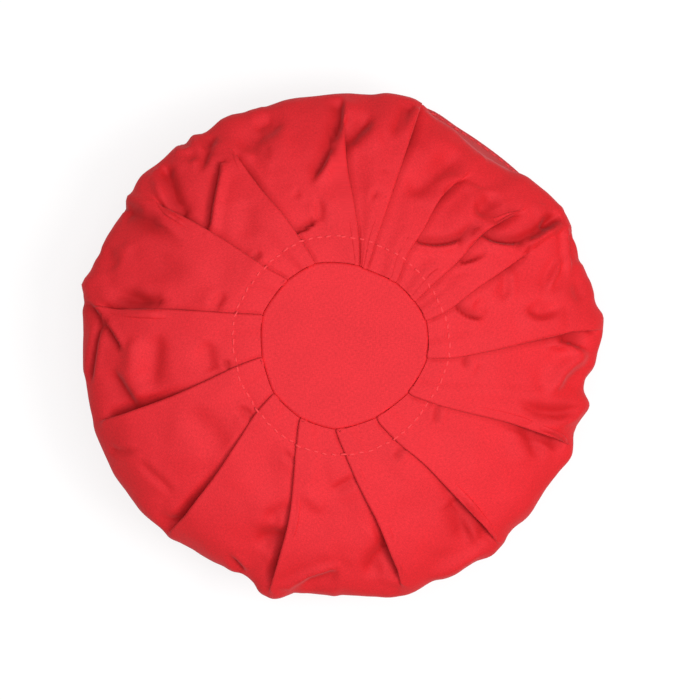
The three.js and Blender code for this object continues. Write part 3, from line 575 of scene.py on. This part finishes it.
def makeCrown():
    # a grid of the columns and rows, whose two ends are joined
    columns, place, shade = shapeCrown()
    strip = unrollCrown(columns, place)
    count, rows = shade.shape
    mesh = bmesh.new()
    bmesh.ops.create_grid(mesh, x_segments=count, y_segments=rows - 1, size=0.5)
    uvLayer = mesh.loops.layers.uv.new("clothUV")
    # the painted shade of each place, which the cloth's colour reads
    shadeLayer = mesh.verts.layers.float.new("creaseShade")
    at = {}
    for vert in mesh.verts:
        at[vert] = (round((vert.co.x + 0.5) * count) % count, round((0.5 - vert.co.y) * (rows - 1)))
    for face in mesh.faces:
        for loop in face.loops:
            loop[uvLayer].uv = strip[at[loop.vert]] * mm
    for vert, grid in at.items():
        vert.co = place[grid] * mm
        vert[shadeLayer] = shade[grid]
    bmesh.ops.remove_doubles(mesh, verts=mesh.verts, dist=1e-7)
    bmesh.ops.recalc_face_normals(mesh, faces=mesh.faces)
    return mesh


def newPiece(name, mesh, smooth=True):
    data = bpy.data.meshes.new(name)
    mesh.to_mesh(data)
    mesh.free()
    for polygon in data.polygons:
        polygon.use_smooth = smooth
    piece = bpy.data.objects.new(name, data)
    bpy.context.scene.collection.objects.link(piece)
    return piece


def spinProfile(profile, segments):
    # a mesh spun from radii and heights
    mesh = bmesh.new()
    verts = [mesh.verts.new((r, 0, z)) for r, z in profile]
    edges = [mesh.edges.new(pair) for pair in zip(verts, verts[1:])]
    bmesh.ops.spin(mesh, geom=verts + edges, axis=(0, 0, 1), cent=(0, 0, 0), angle=2 * math.pi,
                   steps=segments, use_merge=True)
    return mesh


def placeAt(angle, radius, z):
    return Vector((radius * math.sin(angle), radius * math.cos(angle), z)) * mm


def giveThickness(piece, thickness, offset):
    wall = piece.modifiers.new("cloth", "SOLIDIFY")
    wall.thickness = thickness * mm
    wall.offset = offset


crownPiece = newPiece("pleated_crown_cloth", makeCrown())
giveThickness(crownPiece, crownMake["cloth"], -1)
print("crown made:", len(crownPiece.data.polygons), "faces")


# The disc: a round of cloth whose edge turns down into the seam and lies under the crown
discMake = {
    "drop": 0.1, "fullness": 0.35,
    "turnDepth": 0.17, "turnWidth": 0.5,
    "edgeDrops": [0.5, 1.0], "edgeLaps": [0.08, 0.18],  # steps of its edge down, and then out under the crown
    "allowance": 6.0, "allowanceDrop": 2.0,
    "rings": 26, "segments": 180, "ringSpacing": 1.25,  # above 1 the rings are closer at the edge
    "softness": 0.16, "softnessSize": 16.0, "softnessPlace": 3, "radius": 33,
    "cloth": 0.5,
}


def makeDisc():
    # its profile goes from the middle to the seam, down and out under the crown
    make = discMake
    profile = [(k / make["rings"], 0.0) for k in range(make["rings"])]
    profile += [(1.0, -drop) for drop in make["edgeDrops"]] + [(1 + lap, -1.0) for lap in make["edgeLaps"]]
    mesh = spinProfile(profile, make["segments"])
    bmesh.ops.remove_doubles(mesh, verts=mesh.verts, dist=1e-5)
    uvLayer = mesh.loops.layers.uv.new("clothUV")
    middleZ = crownMake["topZ"] - make["drop"]
    for vert in mesh.verts:
        share, level = vert.co.xy.length, vert.co.z
        angle = math.atan2(vert.co.x, vert.co.y)
        bearing = math.degrees(angle)
        seam = float(seamRadius(bearing)) + discLap
        if share <= 1.0001:
            r = seam * (1 - (1 - share) ** make["ringSpacing"] if share < 1 else 1.0)
            place = Vector((vert.co.x, vert.co.y, make["softnessPlace"])) * make["radius"]
            top = middleZ + make["fullness"] * (1 - share ** 2)
            top += make["softness"] * noise.noise(place / make["softnessSize"])
            fall = make["turnDepth"] * max(0.0, float(roundTable(seamPull, "depth", bearing)))
            fall *= max(0.0, 1 - (seam - r) / make["turnWidth"]) ** seamRoundness
            z = top - fall + level * (make["allowanceDrop"] - fall)
        else:
            r = seam + (share - 1) / make["edgeLaps"][-1] * make["allowance"]
            z = middleZ - make["allowanceDrop"]
        vert.co = placeAt(angle, r, z)
    for face in mesh.faces:
        for loop in face.loops:
            loop[uvLayer].uv = loop.vert.co.xy
    bmesh.ops.recalc_face_normals(mesh, faces=mesh.faces)
    if mesh.faces[0].normal.z < 0:
        bmesh.ops.reverse_faces(mesh, faces=mesh.faces)
    return mesh


discPiece = newPiece("top_disc_cloth", makeDisc())
giveThickness(discPiece, discMake["cloth"], -1)
print("disc made:", len(discPiece.data.polygons), "faces")


# The headband: a strip folded double, its fold at the hem on the table and its two edges in the crown seam
bandMake = {
    "top": 40.0, "bottom": 0.25,
    "gap": 1.3,
    "hemTurn": 5,
    "heightRows": 22,
    "segments": 240,
    "inset": 0.3,  # how far its outer layer stands inside the table's radius
    "ripple": 0.35, "rippleSizes": (6, 6, 1 / 16),
    "pucker": 0.1, "puckers": 41, "puckerFrom": 0.75,  # under the gathers, from that share of its height
    "hemStill": 0.3, "hemHeight": 6,  # the share of this at the hem, and from what height it is whole
    "stitchGroove": 0.25, "grooveWidth": 0.8, "topStitch": 3.0, "hemStitch": 4.0,
    "cloth": 0.5,
    "weaveRadius": 92, "innerFrom": -0.6, "innerWeave": 60.0,  # so far in its weave starts again, further on
}


def bandProfile(bearing, height):
    share = 1 - height / bandMake["top"]
    lean = roundTable(bandOutline, "lean", bearing) * share ** 2
    return roundTable(bandOutline, "radius", bearing) + lean


def bandRipple(angle, z, outer):
    # how far the band stands out of its smooth shape
    make = bandMake
    place = np.array([math.sin(angle), math.cos(angle), z]) * make["rippleSizes"]
    wave = make["ripple"] * noise.noise(Vector(place))
    underGathers = max(0.0, z / make["top"] - make["puckerFrom"]) / (1 - make["puckerFrom"])
    wave += make["pucker"] * math.sin(angle * make["puckers"]) * underGathers
    for level in (make["top"] - make["topStitch"], make["hemStitch"]):
        groove = make["stitchGroove"] * math.exp(-((z - level) / make["grooveWidth"]) ** 2)
        wave -= groove if outer else -groove
    return wave * (make["hemStill"] + (1 - make["hemStill"]) * min(1.0, z / make["hemHeight"]))


def makeBand():
    make = bandMake
    half = make["gap"] / 2
    rows = np.linspace(make["top"], make["bottom"] + half, make["heightRows"])
    turn = [(half * math.cos(a) - half, make["bottom"] + half - half * math.sin(a))
            for a in np.linspace(0, math.pi, make["hemTurn"] + 2)[1:-1]]
    profile = [(0.0, z) for z in rows] + turn + [(-make["gap"], z) for z in rows[::-1]]
    spun = 100  # the radius that the profile is spun at, before the band takes its own
    mesh = spinProfile([(spun + offset, z) for offset, z in profile], make["segments"])
    uvLayer = mesh.loops.layers.uv.new("clothUV")
    for face in mesh.faces:
        middle = face.calc_center_median().xy.angle_signed(Vector((0, 1)))
        for loop in face.loops:
            angle = math.atan2(loop.vert.co.x, loop.vert.co.y)
            if angle < middle - math.pi:
                angle += 2 * math.pi
            inner = loop.vert.co.xy.length < spun + make["innerFrom"]
            down = loop.vert.co.z + (make["innerWeave"] if inner else 0.0)
            loop[uvLayer].uv = (angle * make["weaveRadius"] * mm, down * mm)
    for vert in mesh.verts:
        angle = math.atan2(vert.co.x, vert.co.y)
        offset, z = vert.co.xy.length - spun, vert.co.z
        r = float(bandProfile(math.degrees(angle), z)) + offset - make["inset"]
        vert.co = placeAt(angle, r + bandRipple(angle, z, offset > -half), z)
    bmesh.ops.recalc_face_normals(mesh, faces=mesh.faces)
    return mesh


bandPiece = newPiece("headband_cloth", makeBand())
giveThickness(bandPiece, bandMake["cloth"], 0)
print("band made:", len(bandPiece.data.polygons), "faces")


# Stitching: short threads laid on the finished cloth
stitchMake = {
    "length": 2.25, "pitch": 3.65, "thread": 0.42,
    "flatness": 0.8,  # how thick the thread is against its width
    "lift": 0.06, "sink": 0.14,  # how far the deepest stitches sink into the cloth
    "unevenness": 0.38,  # how far an end strays
    "step": 0.35,  # the most that a stitch over a fold's edge slopes
    "lastBearing": 358,  # the ring's last stitch starts before it
    "bandPitch": 3.4, "bandRadius": 92.5,
}


def addStitch(mesh, start, end, up, thread):
    # a ball drawn out from one end to the other, nearly as thick at its ends as in its middle
    along = end - start
    made = bmesh.ops.create_uvsphere(mesh, u_segments=8, v_segments=5, radius=1.0)["verts"]
    side = up.cross(along).normalized()
    top = along.cross(side).normalized() * stitchMake["flatness"]
    middle = (start + end) / 2
    for vert in made:
        x, y, z = vert.co
        atPole = abs(z) > 0.999
        fullness = 0.0 if atPole else (1 - abs(z) ** 4) ** 0.25 / math.sqrt(1 - z * z)
        vert.co = middle + along * (z / 2) + (side * x + top * y) * (thread * fullness)


def surfaceFinder(piece):
    # finds where a ray meets the cloth
    mesh = bmesh.new()
    mesh.from_mesh(piece.data)
    finder = BVHTree.FromBMesh(mesh)
    mesh.free()
    return finder


def makeRingStitches():
    make = stitchMake
    finder = surfaceFinder(crownPiece)
    mesh = bmesh.new()
    chance = random.Random(7)
    down = Vector((0, 0, -1))
    bearing = 0.0
    while bearing < make["lastBearing"]:
        radius = float(ringRadius(bearing))
        ends = []
        for side in (-0.5, 0.5):
            stray = make["unevenness"]
            a = math.radians(bearing) + (side * make["length"] + chance.uniform(-stray, stray)) / radius
            out = radius + chance.uniform(-stray, stray)
            hit, _, _, _ = finder.ray_cast(placeAt(a, out, 2 * crownMake["topZ"]), down)
            ends.append(hit - down * (make["lift"] - make["sink"] * chance.random() ** 2) * mm)
        highest = max(end.z for end in ends)
        for end in ends:
            end.z = max(end.z, highest - make["step"] * mm)
        addStitch(mesh, ends[0], ends[1], -down, make["thread"] * mm)
        bearing += math.degrees(make["pitch"] / radius)
    return mesh


def makeBandStitches():
    make = stitchMake
    finder = surfaceFinder(bandPiece)
    mesh = bmesh.new()
    radius = make["bandRadius"]
    count = round(2 * math.pi * radius / make["bandPitch"])
    for level in (bandMake["top"] - bandMake["topStitch"], bandMake["hemStitch"]):
        for k in range(count):
            ends = []
            for side in (-0.5, 0.5):
                a = 2 * math.pi * k / count + side * make["length"] / radius
                out = Vector((math.sin(a), math.cos(a), 0))
                hit, _, _, _ = finder.ray_cast(placeAt(a, 1.3 * radius, level), -out)
                ends.append(hit + out * (bandMake["cloth"] / 2 + make["lift"]) * mm)
            addStitch(mesh, ends[0], ends[1], out, make["thread"] * mm)
    return mesh


ringStitches = newPiece("ring_stitches", makeRingStitches())
bandStitches = newPiece("band_stitches", makeBandStitches())
print("stitches made:", len(ringStitches.data.polygons) + len(bandStitches.data.polygons), "faces")


# Materials
class Wire:
    # one output of a shader node, so that sums on it add Math nodes
    def __init__(self, finish, socket):
        self.finish, self.socket = finish, socket

    def maths(self, operation, first, second=0.0):
        return self.finish.node("ShaderNodeMath", {"operation": operation}, {0: first, 1: second})

    def __add__(self, other):
        return self.maths("ADD", self, other)

    def __radd__(self, other):
        return self.maths("ADD", other, self)

    def __sub__(self, other):
        return self.maths("SUBTRACT", self, other)

    def __rsub__(self, other):
        return self.maths("SUBTRACT", other, self)

    def __mul__(self, other):
        return self.maths("MULTIPLY", self, other)

    def __rmul__(self, other):
        return self.maths("MULTIPLY", other, self)

    def __abs__(self):
        return self.maths("ABSOLUTE", self)

    def sine(self):
        return self.maths("SINE", self)


class Finish:
    def __init__(self, name):
        self.material = bpy.data.materials.new(name)
        self.material.use_nodes = True
        self.tree = self.material.node_tree
        self.tree.nodes.clear()

    def node(self, kind, settings=None, inputs=None, output=0):
        made = self.tree.nodes.new(kind)
        for name, value in (settings or {}).items():
            setattr(made, name, value)
        for name, value in (inputs or {}).items():
            if isinstance(value, Wire):
                self.tree.links.new(value.socket, made.inputs[name])
            else:
                made.inputs[name].default_value = value
        return Wire(self, made.outputs[output]) if made.outputs else None

    def mixed(self, factor, first, second, blend="MIX"):
        return self.node("ShaderNodeMix", {"data_type": "RGBA", "blend_type": blend, "clamp_factor": True},
                         {0: factor, 6: first, 7: second}, output=2)

    def speckle(self, place, scale, detail, dimensions="3D"):
        return self.node("ShaderNodeTexNoise", {"noise_dimensions": dimensions},
                         {"Vector": place, "Scale": scale, "Detail": detail})

    def close(self, inputs):
        # the surface itself
        shader = self.node("ShaderNodeBsdfPrincipled", {}, inputs)
        self.node("ShaderNodeOutputMaterial", {}, {"Surface": shader})
        return self.material


clothLook = {
    "crownRed": (0.66, 0.0245, 0.0335), "discRed": (0.66, 0.0245, 0.0335),
    "bandRed": (0.635, 0.0235, 0.032),
    "shades": (0.74, 1.26),  # how dark and light its threads are against it
    "threadSpacing": 0.42,
    "slubs": (2600, 800), "slubDetail": 2.0, "slubContrast": 1.5,  # uneven threads, across and along them
    "blotches": 60.0, "blotchDetail": 3.0, "blotchContrast": 0.3, "weaveContrast": 0.06,
    "roughness": 0.82, "specular": 0.18,
    "sheen": 0.1, "sheenRoughness": 0.45, "sheenTint": (1.0, 0.62, 0.64, 1),
    "weaveBump": 0.25, "weaveDepth": 0.06, "weaveHeight": 0.5, "slubHeight": 1.2,
    "creaseRed": (0.28, 0.002, 0.0035, 1), "creaseShade": 0.8,  # painted shade: the dark red the cloth is painted towards where little light reaches it
    "steepShadeTint": (1.0, 0.36, 0.42, 1), "steepShading": 2.4,  # painted shade: steep cloth is painted a deeper red, the tone of cloth turned from the light
}
threadLook = {
    "pink": (0.84, 0.052, 0.062), "shades": (0.8, 1.1),
    "fuzz": 2400.0, "fuzzDetail": 2.0,
    "roughness": 0.75, "specular": 0.2,
}


def shadesOf(colour, shares):
    return [tuple(min(1.0, c * share) for c in colour) + (1,) for share in shares]


def cottonFinish(name, red):
    look = clothLook
    finish = Finish(name)
    uv = finish.node("ShaderNodeUVMap", {"uv_map": "clothUV"})
    across, down = (finish.node("ShaderNodeSeparateXYZ", {}, {0: uv}, output=side) for side in (0, 1))
    turns = math.pi / (look["threadSpacing"] * mm)
    weave = (across * turns).sine() * (down * turns).sine()
    stretched = [finish.node("ShaderNodeMapping", {}, {"Vector": uv, "Scale": stretch + (1,)})
                 for stretch in (look["slubs"], look["slubs"][::-1])]
    warp, weft = (finish.speckle(place, 1.0, look["slubDetail"], "2D") for place in stretched)
    place = finish.node("ShaderNodeTexCoord", output=3)
    blotch = finish.speckle(place, look["blotches"], look["blotchDetail"])
    slub = (warp + weft) * 0.5
    tone = 0.5 + (slub - 0.5) * look["slubContrast"] + (blotch - 0.5) * look["blotchContrast"]
    colour = finish.mixed(tone + weave * look["weaveContrast"], *shadesOf(red, look["shades"]))
    # painted shade: the colour darkens to a deep red in creases and wrinkles, where little light reaches
    dim = finish.node("ShaderNodeAttribute", {"attribute_name": "creaseShade"}, output=2)
    colour = finish.mixed(dim * look["creaseShade"], colour, look["creaseRed"])
    # painted shade: the steeper the cloth, the deeper the red painted into it
    facing = finish.node("ShaderNodeNewGeometry", output=1)
    level = abs(finish.node("ShaderNodeSeparateXYZ", {}, {0: facing}, output=2))
    colour = finish.mixed((1 - level) * look["steepShading"], colour, look["steepShadeTint"], "MULTIPLY")
    height = weave * look["weaveHeight"] + slub * look["slubHeight"]
    bump = finish.node("ShaderNodeBump", {}, {
        "Strength": look["weaveBump"], "Distance": look["weaveDepth"] * mm, "Height": height})
    return finish.close({
        "Base Color": colour, "Roughness": look["roughness"], "Normal": bump,
        "Sheen Weight": look["sheen"], "Sheen Roughness": look["sheenRoughness"],
        "Sheen Tint": look["sheenTint"], "Specular IOR Level": look["specular"],
    })


def threadFinish():
    look = threadLook
    finish = Finish("pink_thread")
    fuzz = finish.speckle(finish.node("ShaderNodeTexCoord", output=3), look["fuzz"], look["fuzzDetail"])
    colour = finish.mixed(fuzz, *shadesOf(look["pink"], look["shades"]))
    return finish.close({
        "Base Color": colour, "Roughness": look["roughness"], "Specular IOR Level": look["specular"]})


for piece, name in ((crownPiece, "crown"), (discPiece, "disc"), (bandPiece, "band")):
    piece.data.materials.append(cottonFinish(name + "_red_cotton", clothLook[name + "Red"]))
pinkThread = threadFinish()
for piece in (ringStitches, bandStitches):
    piece.data.materials.append(pinkThread)

# What each piece stands for
for piece, node, slot in ((crownPiece, "pleated_crown", "crown_cotton"),
                          (discPiece, "top_disc", "disc_cotton"), (bandPiece, "headband", "band_cotton")):
    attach(piece, "root")
    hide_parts(node)
for piece, slot in ((ringStitches, "crown_cotton"), (bandStitches, "band_cotton")):
    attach(piece, "root")

# Floor, lights and camera
stageMake = {
    "floorSize": 3.0, "floorZ": -0.0001, "floorShade": 0.17, "floorRoughness": 0.9, "floorGlow": 0.81,
    "worldStrength": 0.15,
    "topPower": 98.0, "topSize": 2.0, "topPlace": (0, 0, 4.0),  # a wide lamp overhead
    "keyPower": 21.0, "keySize": 0.6, "keyPlace": (0.776, -0.208, 1.722),  # a smaller one on the right
    "cameraPlace": (0.0024, -0.0016, 3.166), "lens": 400.0, "clipEnd": 20,
}

floorMesh = bmesh.new()
bmesh.ops.create_grid(floorMesh, x_segments=1, y_segments=1, size=stageMake["floorSize"])
floor = newPiece("floor", floorMesh, smooth=False)
floor.location.z = stageMake["floorZ"]
shade = stageMake["floorShade"]
floor.data.materials.append(Finish("pale_floor").close({
    "Base Color": (shade, shade, shade, 1), "Roughness": stageMake["floorRoughness"],
    "Emission Color": (1, 1, 1, 1), "Emission Strength": stageMake["floorGlow"]}))

world = bpy.data.worlds.new("studio")
bpy.context.scene.world = world
world.use_nodes = True
background = world.node_tree.nodes["Background"].inputs
background["Color"].default_value = (1, 1, 1, 1)
background["Strength"].default_value = stageMake["worldStrength"]


def softLight(name, power, size, place):
    data = bpy.data.lights.new(name, "AREA")
    data.energy, data.size = power, size
    light = bpy.data.objects.new(name, data)
    light.location = place
    light.rotation_euler = (-Vector(place)).to_track_quat("-Z", "Y").to_euler()
    bpy.context.scene.collection.objects.link(light)


softLight("top", stageMake["topPower"], stageMake["topSize"], stageMake["topPlace"])
softLight("key", stageMake["keyPower"], stageMake["keySize"], stageMake["keyPlace"])

cameraData = bpy.data.cameras.new("camera")
cameraData.lens = stageMake["lens"]
cameraData.clip_end = stageMake["clipEnd"]
camera = bpy.data.objects.new("camera", cameraData)
camera.location = stageMake["cameraPlace"]
bpy.context.scene.collection.objects.link(camera)
bpy.context.scene.camera = camera
bpy.context.scene.view_settings.view_transform = "Standard"
print("stage set")
